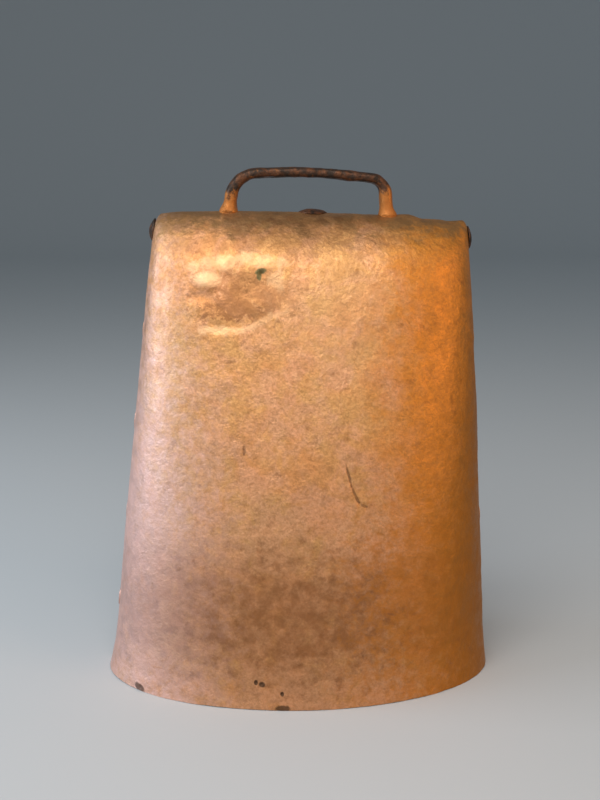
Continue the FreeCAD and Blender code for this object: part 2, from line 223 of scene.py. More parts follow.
def edit_at(piece: Piece, chosen: np.ndarray) -> None:
    """Opens the piece in edit mode with exactly those vertices selected."""
    mesh = piece.data
    bpy.context.scene.tool_settings.mesh_select_mode = (True, False, False)
    mesh.vertices.foreach_set("select", chosen)
    mesh.edges.foreach_set("select", np.zeros(len(mesh.edges), bool))
    mesh.polygons.foreach_set("select", np.zeros(len(mesh.polygons), bool))
    only(piece)
    bpy.ops.object.mode_set(mode="EDIT")


def select_open_edges(piece: Piece, y: float) -> None:
    """Selects, in edit mode, the open edges that lie in the plane of that Y."""
    shape = bmesh.from_edit_mesh(piece.data)
    for edge in shape.edges:
        edge.select_set(edge.is_boundary and all(abs(vert.co.y - y) < 1.5 * MM for vert in edge.verts))
    bmesh.update_edit_mesh(piece.data)


def points(piece: Piece) -> np.ndarray:
    """The piece's vertices, one row each."""
    rows = np.empty(len(piece.data.vertices) * 3)
    piece.data.vertices.foreach_get("co", rows)
    return rows.reshape(-1, 3)


def grow(levels: list[tuple[float, float, float]]) -> None:
    """Extrudes the selected ring up through levels of height, width and depth; the first is its own."""
    for (low, wide, deep), (high, wider, deeper) in zip(levels, levels[1:]):
        bpy.ops.mesh.extrude_region_move(TRANSFORM_OT_translate={"value": (0, 0, high - low)})
        bpy.ops.transform.resize(value=(wider / wide, deeper / deep, 1), center_override=(0, 0, high))


def close_up(piece: Piece) -> None:
    """Fills the piece's open ends and turns its faces outwards."""
    edit_all(piece)
    bpy.ops.mesh.remove_doubles(threshold=0.005 * MM)
    bpy.ops.mesh.fill_holes(sides=0)
    bpy.ops.mesh.select_all(action="SELECT")
    bpy.ops.mesh.normals_make_consistent(inside=False)
    done()


def smooth(piece: Piece, degrees: float | None = None) -> None:
    """Shades the piece smooth, all over or up to that angle."""
    only(piece)
    if degrees is None:
        bpy.ops.object.shade_smooth()
    else:
        bpy.ops.object.shade_smooth_by_angle(angle=math.radians(degrees))


def lean(piece: Piece) -> None:
    """Leans a piece that was built upright with the bell."""
    piece.rotation_euler = (0, LEAN, 0)
    apply_place(piece)


def turned(name: str, levels: list[tuple[float, float]], place: Vector, direction: Vector,
           sides: int = 48) -> Piece:
    """A round closed piece, raised ring by ring.

    Args:
        name: the piece's name.
        levels: height and radius of each ring, from the bottom up.
        place: where height 0 goes.
        direction: where its +Z points.
        sides: how many vertices a ring has.

    Returns:
        The piece.
    """
    low, radius = levels[0]
    bpy.ops.mesh.primitive_circle_add(vertices=sides, radius=radius, location=(0, 0, low))
    piece = named(name)
    apply_place(piece)
    edit_all(piece)
    grow([(height, r, r) for height, r in levels])
    done()
    close_up(piece)
    piece.rotation_euler = direction.to_track_quat("Z", "Y").to_euler()
    piece.location = place
    apply_place(piece)
    return piece


def dome(radius: float, height: float, root: float) -> list[tuple[float, float]]:
    """Levels of a domed head that stands on 0, with a straight root below it."""
    rows = 8
    sphere = (radius ** 2 + height ** 2) / (2 * height)
    levels = [(-root, radius), (0.0, radius)]
    for row in range(1, rows + 1):
        ring = radius * math.cos(math.pi / 2 * row / rows) + (0.02 * MM if row == rows else 0)
        levels.append((height - sphere + math.sqrt(sphere ** 2 - ring ** 2), ring))
    return levels


@dataclass
class Straight:
    """A straight run of a bar."""

    length: float
    steps: int


@dataclass
class Bend:
    """A bend of a bar, about a centre that lies on the side it turns to."""

    radius: float
    degrees: float
    towards: Vector
    steps: int = 10


def forged_bar(name: str, start: Vector, heading: Vector, radius: float, moves: list[Straight | Bend],
               sides: int = 28) -> Piece:
    """A round bar drawn along straights and bends.

    Args:
        name: the piece's name.
        start: where its centreline starts.
        heading: its first direction.
        radius: the bar's radius.
        moves: the runs and bends in order. A bend's towards is turned with the bar's heading.
        sides: how many vertices go round it.

    Returns:
        The bar, closed, or joined to itself where it ends at its start.
    """
    bpy.ops.mesh.primitive_circle_add(vertices=sides, radius=radius, location=start,
                                      rotation=heading.to_track_quat("Z", "Y").to_euler())
    piece = named(name)
    apply_place(piece)
    edit_all(piece)
    place = start.copy()
    for move in moves:
        if isinstance(move, Straight):
            step = heading * (move.length / move.steps)
            for _ in range(move.steps):
                bpy.ops.mesh.extrude_region_move(TRANSFORM_OT_translate={"value": step})
            place += heading * move.length
        else:
            side = (move.towards - heading * move.towards.dot(heading)).normalized()
            centre, axis = place + side * move.radius, heading.cross(side)
            angle = math.radians(move.degrees)
            bpy.ops.mesh.spin(steps=move.steps, angle=angle, center=centre, axis=-axis)
            spun = Matrix.Rotation(angle, 3, axis)
            place = centre + spun @ (place - centre)
            heading = spun @ heading
    done()
    close_up(piece)
    return piece


def joined(name: str, *parts: Piece) -> Piece:
    """Joins closed pieces into one object."""
    only(*parts)
    bpy.ops.object.join()
    return named(name)


def finish(piece: Piece, *materials: Material) -> None:
    """Gives the piece these materials, in the order of its slots."""
    piece.data.materials.clear()
    for material in materials:
        piece.data.materials.append(material)


def report(piece: Piece) -> None:
    """Reports a finished piece."""
    log.info("%s: %d faces", piece.name, len(piece.data.polygons))


# ---- materials ----

class Nodes:
    """A material's node tree, built up step by step on Object coordinates."""

    def __init__(self, name: str) -> None:
        """Makes the material and its shader.

        Args:
            name: the material's name.
        """
        self.material = bpy.data.materials.new(name)
        self.material.use_nodes = True
        self.tree = self.material.node_tree
        self.tree.nodes.clear()
        output = self.tree.nodes.new("ShaderNodeOutputMaterial")
        self.shader = self.tree.nodes.new("ShaderNodeBsdfPrincipled")
        self.link(self.shader.outputs["BSDF"], output.inputs["Surface"])
        self.place = self.tree.nodes.new("ShaderNodeTexCoord").outputs["Object"]

    def link(self, source: Socket, target: Socket) -> None:
        """Joins two sockets."""
        self.tree.links.new(source, target)

    def feed(self, socket: Socket, value: object) -> None:
        """Links or sets a socket, whichever the value asks for."""
        if isinstance(value, Socket):
            self.link(value, socket)
        else:
            socket.default_value = value

    def shade(self, name: str, value: object) -> None:
        """Links or sets one of the shader's inputs."""
        self.feed(self.shader.inputs[name], value)

    def noise(self, size: float, detail: float = 4.0, rough: float = 0.55,
              warp: float = 0.0, shift: float = 0.0) -> Socket:
        """A cloud of noise.

        Args:
            size: the size of its features, in metres.
            detail: how many finer octaves it has.
            rough: how strong they are.
            warp: how far it is distorted.
            shift: moves it, so that two clouds of one size differ.

        Returns:
            Its value, about 0.5 on average.
        """
        node = self.tree.nodes.new("ShaderNodeTexNoise")
        node.inputs["Scale"].default_value = 1 / size
        node.inputs["Detail"].default_value = detail
        node.inputs["Roughness"].default_value = rough
        node.inputs["Distortion"].default_value = warp
        self.link(self.shifted(shift) if shift else self.place, node.inputs["Vector"])
        return node.outputs["Fac"]

    def shifted(self, shift: float) -> Socket:
        """The Object coordinates moved along all three axes."""
        node = self.tree.nodes.new("ShaderNodeMapping")
        node.inputs["Location"].default_value = (shift, shift, shift)
        self.link(self.place, node.inputs["Vector"])
        return node.outputs["Vector"]

    def ramp(self, value: Socket, low: float, high: float,
             start: float = 0.0, end: float = 1.0) -> Socket:
        """Stretches a value smoothly, so that low gives start and high gives end."""
        node = self.tree.nodes.new("ShaderNodeMapRange")
        node.interpolation_type = "SMOOTHSTEP"
        self.link(value, node.inputs["Value"])
        limits = (("From Min", low), ("From Max", high), ("To Min", start), ("To Max", end))
        for socket, number in limits:
            node.inputs[socket].default_value = number
        return node.outputs["Result"]

    def math(self, operation: str, first: object, second: object = 0.0) -> Socket:
        """The sum, product or the like of two values."""
        node = self.tree.nodes.new("ShaderNodeMath")
        node.operation = operation
        self.feed(node.inputs[0], first)
        self.feed(node.inputs[1], second)
        return node.outputs[0]

    def plus(self, value: object, other: object, share: float) -> Socket:
        """The value with a share of the other one added to it."""
        return self.math("ADD", value, self.math("MULTIPLY", other, share))

    def mix(self, share: object, first: object, second: object) -> Socket:
        """Blends two colours; a colour is a socket or a linear RGB triple."""
        node = self.tree.nodes.new("ShaderNodeMix")
        node.data_type = "RGBA"
        for socket, value in ((0, share), (6, first), (7, second)):
            if isinstance(value, tuple):
                value = (*value, 1.0)
            self.feed(node.inputs[socket], value)
        return node.outputs[2]

    def axis(self, name: str) -> Socket:
        """One of the Object coordinates: X, Y or Z."""
        node = self.tree.nodes.new("ShaderNodeSeparateXYZ")
        self.link(self.place, node.inputs[0])
        return node.outputs[name]

    def mark(self, mark: "Mark") -> Socket:
        """How far the place lies from a mark's middle: 1 on its rim, less inside."""
        node = self.tree.nodes.new("ShaderNodeMapping")
        node.vector_type = "TEXTURE"
        node.inputs["Location"].default_value = (mark.x * MM, 0, mark.z * MM)
        node.inputs["Rotation"].default_value = (0, math.radians(-mark.turn), 0)
        node.inputs["Scale"].default_value = (mark.wide * MM, 1.0, mark.high * MM)
        self.link(self.place, node.inputs["Vector"])
        length = self.tree.nodes.new("ShaderNodeVectorMath")
        length.operation = "LENGTH"
        self.link(node.outputs["Vector"], length.inputs[0])
        return length.outputs["Value"]

    def bump(self, height: Socket, depth: float, strength: float,
             below: Socket | None = None) -> Socket:
        """Turns a height into a bumped normal, on top of the one below."""
        node = self.tree.nodes.new("ShaderNodeBump")
        node.inputs["Distance"].default_value = depth
        node.inputs["Strength"].default_value = strength
        self.link(height, node.inputs["Height"])
        if below is not None:
            self.link(below, node.inputs["Normal"])
        return node.outputs["Normal"]


@dataclass(frozen=True)
class Mark:
    """A stain, a nick, a painted highlight, a painted reflection or painted shade, as an ellipse; x, z
    and its half sizes are in mm.
    """

    x: float
    z: float
    wide: float
    high: float
    turn: float                      # degrees, anticlockwise as seen from the front
    colour: Colour
    share: float                     # how far it covers
    ragged: float = 0.6              # how uneven its edge is
    soft: float = 0.5                # width of its edge


# Painted reflection: the cool window light down the left flank, painted pink.
PAINTED_WINDOW_PINK: Colour = (0.76, 0.50, 0.47)
# Painted highlight: the bright edges of the dents and the boss, and a broad sheen, painted light.
PAINTED_HIGHLIGHT: Colour = (0.86, 0.53, 0.28)
RUSTED: Colour = (0.40, 0.17, 0.065)
HOLLOW: Colour = (0.15, 0.13, 0.055)
DARK: Colour = (0.06, 0.03, 0.015)
# Painted shade with a warm reflection: the right flank darker and redder towards its edge.
RIGHT_FLANK_SHADE: Colour = (0.36, 0.13, 0.012)
# Painted warm reflection: saturated orange on the lower right.
RIGHT_WARM_REFLECTION: Colour = (0.50, 0.175, 0.018)
EARTH: Colour = (0.19, 0.070, 0.022)

EDGE_MARKS = (
    # painted pink reflection of the window light down the left flank
    Mark(-104, 108, 44, 130, 8, PAINTED_WINDOW_PINK, 0.80, 0.5, 1.5),
    Mark(-8, 44, 68, 28, 0, RUSTED, 0.46, 1.0, 1.2),
    # painted warm reflection, saturated orange, low on the right
    Mark(66, 42, 34, 52, 6, RIGHT_WARM_REFLECTION, 0.62, 1.1, 1.3),
    # painted shade, dark orange, down the right flank
    Mark(96, 112, 25, 130, -6, RIGHT_FLANK_SHADE, 0.80, 0.5, 1.1),
)

FRONT_MARKS = EDGE_MARKS + (
    Mark(-23, 190, 20, 12.5, 12, RUSTED, 0.66, 1.3, 0.5),
    Mark(-27, 185, 13, 8.0, 0, EARTH, 0.30, 2.4, 0.5),
    Mark(-14, 213, 58, 7.5, 2, EARTH, 0.28, 1.6, 0.8),
    Mark(-2, 216, 22, 9.0, 0, EARTH, 0.24, 1.6, 0.8),
    # painted highlights on the boss, along the hollow's edges and a broad one over the upper face
    Mark(-43, 196.2, 5.6, 3.2, 0, PAINTED_HIGHLIGHT, 0.75, 0.3, 0.8),
    Mark(-38, 203.5, 12, 3.0, 8, PAINTED_HIGHLIGHT, 0.50, 1.2, 0.9),
    Mark(-18, 204.0, 10, 3.0, -8, PAINTED_HIGHLIGHT, 0.40, 1.2, 0.9),
    Mark(-12, 196.0, 4.5, 4.0, 0, PAINTED_HIGHLIGHT, 0.45, 0.9, 0.9),
    Mark(-35, 173.6, 11, 1.9, 3, PAINTED_HIGHLIGHT, 0.55, 1.3, 0.9),
    Mark(-17, 178.0, 9, 1.4, 24, PAINTED_HIGHLIGHT, 0.30, 1.4, 0.9),
    Mark(15, 178.0, 26, 26, 0, PAINTED_HIGHLIGHT, 0.16, 1.0, 1.0),
    Mark(-18.9, 199.6, 2.6, 1.3, 15, HOLLOW, 0.9, 0.5, 0.4),
    Mark(-19.6, 197.8, 1.1, 2.6, 5, HOLLOW, 0.9, 0.5, 0.4),
    Mark(20.4, 107.8, 0.65, 4.6, 14, DARK, 0.62, 0.8, 0.6),
    Mark(23.6, 98.6, 0.65, 4.0, 24, DARK, 0.58, 0.8, 0.6),
    Mark(27.4, 94.2, 1.9, 0.6, -22, DARK, 0.50, 0.8, 0.6),
    Mark(-27.1, 120.2, 0.7, 2.4, 3, DARK, 0.50, 0.8, 0.6),
    Mark(-22.7, 12.6, 0.9, 1.3, 0, DARK, 0.9, 0.3, 0.5),
    Mark(-19.9, 11.8, 1.5, 1.3, 0, DARK, 0.9, 0.3, 0.5),
    Mark(-10.7, 7.8, 0.9, 1.1, 0, DARK, 0.9, 0.3, 0.5),
    Mark(-10.3, 1.0, 3.2, 1.5, 0, DARK, 0.8, 0.6, 0.5),
    Mark(-78.2, 1.7, 2.4, 1.4, -20, DARK, 0.8, 0.6, 0.5),
)

BACK_MARKS = EDGE_MARKS + (
    Mark(-30, 150, 30, 22, 20, RUSTED, 0.40, 1.2, 0.9),
    # painted highlights along the back's dents
    Mark(24, 96, 9, 3.0, -30, PAINTED_HIGHLIGHT, 0.45, 1.2, 0.9),
    Mark(10, 182, 14, 2.6, 12, PAINTED_HIGHLIGHT, 0.40, 1.2, 0.9),
    Mark(-46, 70, 1.0, 4.6, 24, DARK, 0.65, 0.6, 0.5),
    Mark(38, 60, 0.9, 3.4, -12, DARK, 0.60, 0.6, 0.5),
    Mark(14, 2.0, 2.8, 1.4, 0, DARK, 0.8, 0.6, 0.5),
)


@dataclass(frozen=True)
class BrazedSkin:
    """Sheet iron with the thin, grainy coat of brass and copper that the brazing left on it."""

    name: str
    marks: tuple[Mark, ...]
    copper: Colour = (0.66, 0.30, 0.115)
    brass: Colour = (0.66, 0.345, 0.13)
    rose: Colour = (0.72, 0.37, 0.22)
    # painted warm reflection on the right side
    warm_reflection: Colour = (0.60, 0.22, 0.025)
    umber: Colour = (0.29, 0.125, 0.038)
    # painted shade on the crown's top, olive brown
    crown_shade: Colour = (0.25, 0.135, 0.052)
    metallic: float = 0.80
    mouth_shade: float = 0.30             # painted shade: how much darker and browner the coat is painted at the mouth
    grain: float = 1.9 * MM
    warm_reflection_line: float = 46.0 * MM    # painted warm reflection: the coat is painted redder to the right of this
    # the crown's painted shade starts above this height
    crown_shade_line: float = 217.5 * MM
    stain_middle: float = 42.0 * MM
    stain_reach: float = 44.0 * MM

    def build(self) -> Material:
        """Makes the material: mottled copper, a painted warm reflection on the right, painted shade
        towards the mouth, painted shade in olive brown on the crown's top, a band worn through, and the
        marks.
        """
        n = Nodes(self.name)
        across, height = n.axis("X"), n.axis("Z")
        wobble = n.math("SUBTRACT", n.noise(11 * MM, 5, 0.65), 0.5)
        colour = n.mix(n.ramp(n.noise(40 * MM, 5, 0.6, 0.4), 0.38, 0.62), self.copper, self.brass)
        patches = n.math("ADD", n.noise(14 * MM, 6, 0.65, 0.6, 0.3),
                         n.ramp(height, 150 * MM, 60 * MM, 0.0, 0.10))
        colour = n.mix(n.ramp(patches, 0.42, 0.64, 0.0, 0.62), colour, self.rose)
        # Painted warm reflection: the coat is painted redder on the right side.
        line = n.plus(across, wobble, 0.05)
        line = n.math("SUBTRACT", line, n.ramp(height, 140 * MM, 20 * MM, 0.0, 22 * MM))
        side = n.ramp(line, self.warm_reflection_line - 22 * MM, self.warm_reflection_line + 12 * MM, 0, 0.9)
        colour = n.mix(side, colour, self.warm_reflection)
        grain = n.noise(self.grain, 4, 0.62)
        colour = n.mix(n.ramp(grain, 0.58, 0.36, 0.0, 0.26), colour, self.umber)
        fine = n.noise(1.1 * MM, 2, 0.5, 0.0, 0.9)
        colour = n.mix(n.ramp(fine, 0.56, 0.38, 0.0, 0.22), colour, self.umber)
        # Painted shade: the coat is painted darker and browner towards the mouth.
        colour = n.mix(n.ramp(height, 150 * MM, 5 * MM, 0.0, self.mouth_shade), colour, self.umber)
        bare = self.bare(n, height, wobble)
        colour = n.mix(n.math("MULTIPLY", bare, 0.90), colour, EARTH)
        wild = n.math("SUBTRACT", n.noise(4.5 * MM, 5, 0.7, 0.4, 0.2), 0.5)
        edge = n.plus(height, wobble, 0.030)
        edge = n.plus(edge, wild, 0.024)
        # Painted shade: the crown's top is painted olive brown above an uneven line.
        crown = n.ramp(edge, self.crown_shade_line - 4 * MM, self.crown_shade_line + 4 * MM, 0.0, 0.78)
        colour = n.mix(crown, colour, self.crown_shade)
        for mark in self.marks:
            reach = n.plus(n.mark(mark), wild, 3 * mark.ragged)
            cover = n.ramp(reach, 1 + mark.soft / 2, 1 - mark.soft / 2, 0, mark.share)
            colour = n.mix(cover, colour, mark.colour)
        n.shade("Base Color", colour)
        n.shade("Metallic", self.metallic)
        n.shade("Roughness", n.ramp(n.noise(7 * MM, 4, 0.6, 0.2, 0.5), 0.35, 0.65, 0.44, 0.60))
        lumps = n.bump(n.noise(6 * MM, 5, 0.6, 0.0, 0.1), 0.9 * MM, 0.36)
        coat = n.math("MULTIPLY", grain, n.math("SUBTRACT", 1.0, n.math("MULTIPLY", bare, 0.6)))
        n.shade("Normal", n.bump(coat, 0.55 * MM, 0.52, lumps))
        return n.material

    def bare(self, n: Nodes, height: Socket, wobble: Socket) -> Socket:
        """Where the coat is worn down to the brown iron: patches, most of them in a band above the lip.

        Args:
            n: the material's nodes.
            height: the place's Z.
            wobble: a cloud of noise about 0, which makes the band's edges uneven.

        Returns:
            How bare it is, from 0 to 1.
        """
        away = n.math("ABSOLUTE", n.math("SUBTRACT", height, self.stain_middle), 0.0)
        away = n.plus(away, wobble, 0.03)
        band = n.ramp(away, self.stain_reach, 4 * MM, 0.0, 0.22)
        worn = n.math("ADD", n.noise(6.5 * MM, 7, 0.68, 0.1, 0.7), band)
        return n.ramp(worn, 0.51, 0.87)


@dataclass(frozen=True)
class ForgedIron:
    """Forged iron: dark scale and brown rust, rubbed a little, with copper where brazing ran on it."""

    name: str = "forged_iron"
    scale: Colour = (0.026, 0.014, 0.008)
    rust: Colour = (0.12, 0.043, 0.015)
    copper: Colour = (0.34, 0.135, 0.042)
    copper_share: float = 0.3        # how much of it the braze ran over
    copper_line: float = 0.0         # below this height there is more
    metallic: float = 0.55

    def build(self) -> Material:
        """Makes the material."""
        n = Nodes(self.name)
        rusty = n.ramp(n.noise(5 * MM, 6, 0.65, 0.4), 0.40, 0.64)
        colour = n.mix(rusty, self.scale, self.rust)
        drops = n.noise(7 * MM, 6, 0.7, 0.5, 0.4)
        if self.copper_line:
            low = n.ramp(n.axis("Z"), self.copper_line, self.copper_line - 10 * MM, 0.0, 0.35)
            drops = n.math("ADD", drops, low)
        copper = n.ramp(drops, 0.68 - self.copper_share * 0.4, 0.84 - self.copper_share * 0.3, 0.0, 0.9)
        colour = n.mix(copper, colour, self.copper)
        n.shade("Base Color", colour)
        n.shade("Metallic", self.metallic)
        n.shade("Roughness", n.ramp(n.noise(3 * MM, 4), 0.35, 0.65, 0.42, 0.68))
        n.shade("Normal", n.bump(n.noise(1.8 * MM, 4, 0.6), 0.5 * MM, 0.6))
        return n.material


@dataclass(frozen=True)
class Paper:
    """The plain pale floor."""

    name: str = "floor_paper"
    colour: Colour = (0.46, 0.475, 0.49)
    roughness: float = 0.85

    def build(self) -> Material:
        """Makes the material."""
        n = Nodes(self.name)
        n.shade("Base Color", (*self.colour, 1.0))
        n.shade("Roughness", self.roughness)
        return n.material


# ---- the bell ----

@dataclass
class Shell:
    """One of the two half shells, hammered from sheet iron, with its lap and its marks."""

    name: str
    node: str
    side: int                        # -1 is the front sheet, 1 the back one
    dents: list["Dent"]
    height: float = RIDGE
    mouth: tuple[float, float] = (MOUTH_HALF + LIP_FLARE, 57.4 * MM)    # half its width and depth
    crown: tuple[float, float] = (RIDGE_HALF, 23.0 * MM)                # the same, at the ridge
    belly: float = 4.5 * MM          # how strongly the faces bow outwards
    roll: float = 27.0 * MM          # the faces roll over to the ridge within this height
    below: float = 8.0 * MM          # the blank reaches this far below the mouth before it is trimmed
    corner: float = 6.0 * MM         # the ridge's ends are hammered in within this height
    corner_round: float = 2.5 * MM   # and this far
    room: tuple[float, float] = (1.12, 1.03)        # the blank is this much wider, at mouth and crown
    depth_room: tuple[float, float] = (1.12, 1.40)  # and this much deeper
    bead_radius: float = 1.1 * MM
    bead_drop: float = 0.8 * MM      # the bead lies this far below the cut edge
    columns: int = 124
    wall_rows: int = 30
    roll_rows: int = 12

    def levels(self) -> list[tuple[float, float, float]]:
        """Heights, half-widths and half-depths of the blank's rings."""
        start = self.height - self.roll
        heights = [-self.below + (start + self.below) * i / self.wall_rows
                   for i in range(self.wall_rows + 1)]
        heights += [start + self.roll * math.sin(math.pi / 2 * i / self.roll_rows)
                    for i in range(1, self.roll_rows + 1)]
        rows = []
        for z in heights:
            share = z / self.height
            wide = self.mouth[0] + (self.crown[0] - self.mouth[0]) * share
            deep = self.mouth[1] + (self.crown[1] - self.mouth[1]) * share
            deep += 4 * self.belly * max(0.0, share) * (1 - share)
            rise = max(0.0, (z - start) / self.roll)
            deep *= math.sqrt(max(0.0, 1 - rise ** 2))
            end = max(0.0, (z - self.height) / self.corner + 1)
            wide -= self.corner_round * (1 - math.sqrt(max(0.0, 1 - end ** 2)))
            share = max(0.0, share)
            wide *= self.room[0] + (self.room[1] - self.room[0]) * share
            deep *= self.depth_room[0] + (self.depth_room[1] - self.depth_room[0]) * share
            rows.append((z, wide, max(deep, 0.001 * MM)))
        return rows

    def blank(self) -> Piece:
        """Raises the whole bell's outline from a ring, closed along the ridge."""
        rows = self.levels()
        z, wide, deep = rows[0]
        bpy.ops.mesh.primitive_circle_add(vertices=self.columns, radius=1, location=(0, 0, z))
        piece = named(self.name)
        piece.scale = (wide, deep, 1)
        apply_place(piece)
        edit_all(piece)
        grow(rows)
        done()
        weld(piece, 0.02 * MM)
        edit_all(piece)
        bpy.ops.mesh.normals_make_consistent(inside=False)
        done()
        lean(piece)
        return piece

    def form(self) -> Piece:
        """The whole outside that the sheet is hammered down on: the node and its mirror image."""
        form = copy_of(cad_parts[self.node], "form")
        weld(form, 0.002 * MM)
        edit_at(form, points(form)[:, 2] < 0.01 * MM)
        bpy.ops.mesh.extrude_region_move(TRANSFORM_OT_translate={"value": (0, 0, -1.5 * self.below)})
        done()
        modify(form, "MIRROR", use_axis=(False, True, False), use_clip=False, use_mirror_merge=False)
        return form

    def build(self) -> Piece:
        """Builds the shell and marks it."""
        piece = self.blank()
        wrap(piece, self.form(), 2)
        bisect(piece, Vector((0, 0, 0)), DOWN)
        bisect(piece, Vector((0, -self.side * LAP, 0)), Vector((0, -self.side, 0)))
        weld(piece, 0.05 * MM)
        self.hammer(piece)
        for dent in self.dents:
            dent.strike(piece, self.side)
        self.wear_rim(piece)
        return piece

    def hammer(self, piece: Piece) -> None:
        """Works the broad waves, the hammer marks and the lumpy coat into the sheet."""
        relief(piece, "CLOUDS", 42 * MM, 0.38 * MM, noise_depth=1)
        relief(piece, "CLOUDS", 13 * MM, 0.16 * MM, noise_depth=1)
        relief(piece, "VORONOI", 8 * MM, 0.07 * MM)
        relief(piece, "CLOUDS", 3.2 * MM, 0.10 * MM, noise_depth=2)

    def wear_rim(self, piece: Piece) -> None:
        """Wears the mouth's edge unevenly."""
        heights = points(piece)[:, 2]
        group = piece.vertex_groups.new(name="rim")
        for low, high, weight in ((-1, 0.6, 1.0), (0.6, 2.2, 0.6), (2.2, 4.0, 0.25)):
            rows = np.nonzero((heights >= low * MM) & (heights < high * MM))[0]
            group.add([int(i) for i in rows], weight, "REPLACE")
        texture = bpy.data.textures.new(self.name + "_rim", "CLOUDS")
        texture.noise_scale = 16 * MM
        modify(piece, "DISPLACE", texture=texture, texture_coords="LOCAL", direction="Z",
               strength=1.0 * MM, mid_level=0.25, vertex_group="rim")
        bpy.data.textures.remove(texture)
        piece.vertex_groups.clear()
        self.stand(piece)

    def stand(self, piece: Piece) -> None:
        """Flattens what reaches below the mouth's plane onto it."""
        edit_at(piece, points(piece)[:, 2] < 0)
        bpy.ops.transform.resize(value=(1, 1, 0), center_override=(0, 0, 0))
        done()

    def thicken(self, piece: Piece, skin: Material, inside: Material) -> None:
        """Gives the sheet its thickness inwards, and its finishes.

        Args:
            piece: the outer skin.
            skin: the finish outside.
            inside: the finish inside and on the edges.
        """
        finish(piece, skin, inside)
        modify(piece, "SOLIDIFY", thickness=SHEET, offset=-1, use_rim=True, material_offset=1,
               material_offset_rim=1)
        self.stand(piece)
        smooth(piece, 50)
        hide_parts(self.node)
        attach(piece, "bell")
        report(piece)

    def bead(self, piece: Piece, braze: Material) -> None:
        """Runs a bead of braze along the sheet's lapped edge.

        Args:
            piece: the outer skin, before it is thickened.
            braze: the bead's finish.
        """
        edit(piece, Select.EDGE)
        select_open_edges(piece, -self.side * LAP)
        bpy.ops.mesh.duplicate()
        bpy.ops.mesh.separate(type="SELECTED")
        done()
        bead = next(part for part in bpy.context.selected_objects if part is not piece)
        only(bead)
        bpy.ops.object.convert(target="CURVE")
        curve = bpy.context.active_object.data
        curve.bevel_depth = self.bead_radius
        curve.bevel_resolution = 3
        curve.use_fill_caps = True
        bpy.ops.object.convert(target="MESH")
        bead = named(self.name.replace("shell", "lap_bead"))
        bead.location = (0, 0, -self.bead_drop)
        apply_place(bead)
        bisect(bead, Vector((0, 0, 0.4 * MM)), DOWN)
        close_up(bead)
        relief(bead, "CLOUDS", 4 * MM, 0.30 * MM, noise_depth=2)
        relief(bead, "CLOUDS", 14 * MM, 0.35 * MM, noise_depth=1)
        smooth(bead)
        finish(bead, braze)
        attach(bead, "bell")
        report(bead)


@dataclass
class Dent:
    """One push of the hammer, or a row of them along a line."""

    line: list[tuple[float, float]]  # X and Z of its points, in mm
    depth: float                     # mm, inwards; negative stands out
    reach: float                     # mm that each push takes along with it
    falloff: Falloff = Falloff.SMOOTH
    cuts: int = 0                    # the sheet is divided this finely first
    step: float = 2.0                # mm between the pushes

    def spots(self) -> list[tuple[float, float]]:
        """Places of the pushes along the line, in metres."""
        if len(self.line) == 1:
            return [(self.line[0][0] * MM, self.line[0][1] * MM)]
        out = []
        for (x0, z0), (x1, z1) in zip(self.line, self.line[1:]):
            count = max(1, round(math.dist((x0, z0), (x1, z1)) / self.step))
            out += [((x0 + (x1 - x0) * i / count) * MM, (z0 + (z1 - z0) * i / count) * MM)
                    for i in range(count + 1)]
        return out

    def strike(self, piece: Piece, side: int) -> None:
        """Pushes the sheet at each spot.

        Args:
            piece: the sheet.
            side: -1 for its front, 1 for its back.
        """
        spots = self.spots()
        if self.cuts:
            rows = points(piece)
            near = np.zeros(len(rows), bool)
            for x, z in spots:
                away = np.hypot(rows[:, 0] - x, rows[:, 2] - z)
                near |= (away < self.reach * 1.3 * MM) & (rows[:, 1] * side > 0)
            edit_at(piece, near)
            bpy.ops.mesh.subdivide(number_cuts=self.cuts)
            done()
        for x, z in spots:
            rows = points(piece)
            distance = np.hypot(rows[:, 0] - x, rows[:, 2] - z) + (rows[:, 1] * side < 0)
            nearest = int(np.argmin(distance))
            chosen = np.zeros(len(rows), bool)
            chosen[nearest] = True
            normal = piece.data.vertices[nearest].normal.copy()
            edit_at(piece, chosen)
            bpy.ops.transform.translate(value=normal * (-self.depth * MM), use_proportional_edit=True,
                                        proportional_edit_falloff=self.falloff.value,
                                        proportional_size=self.reach * MM)
            done()


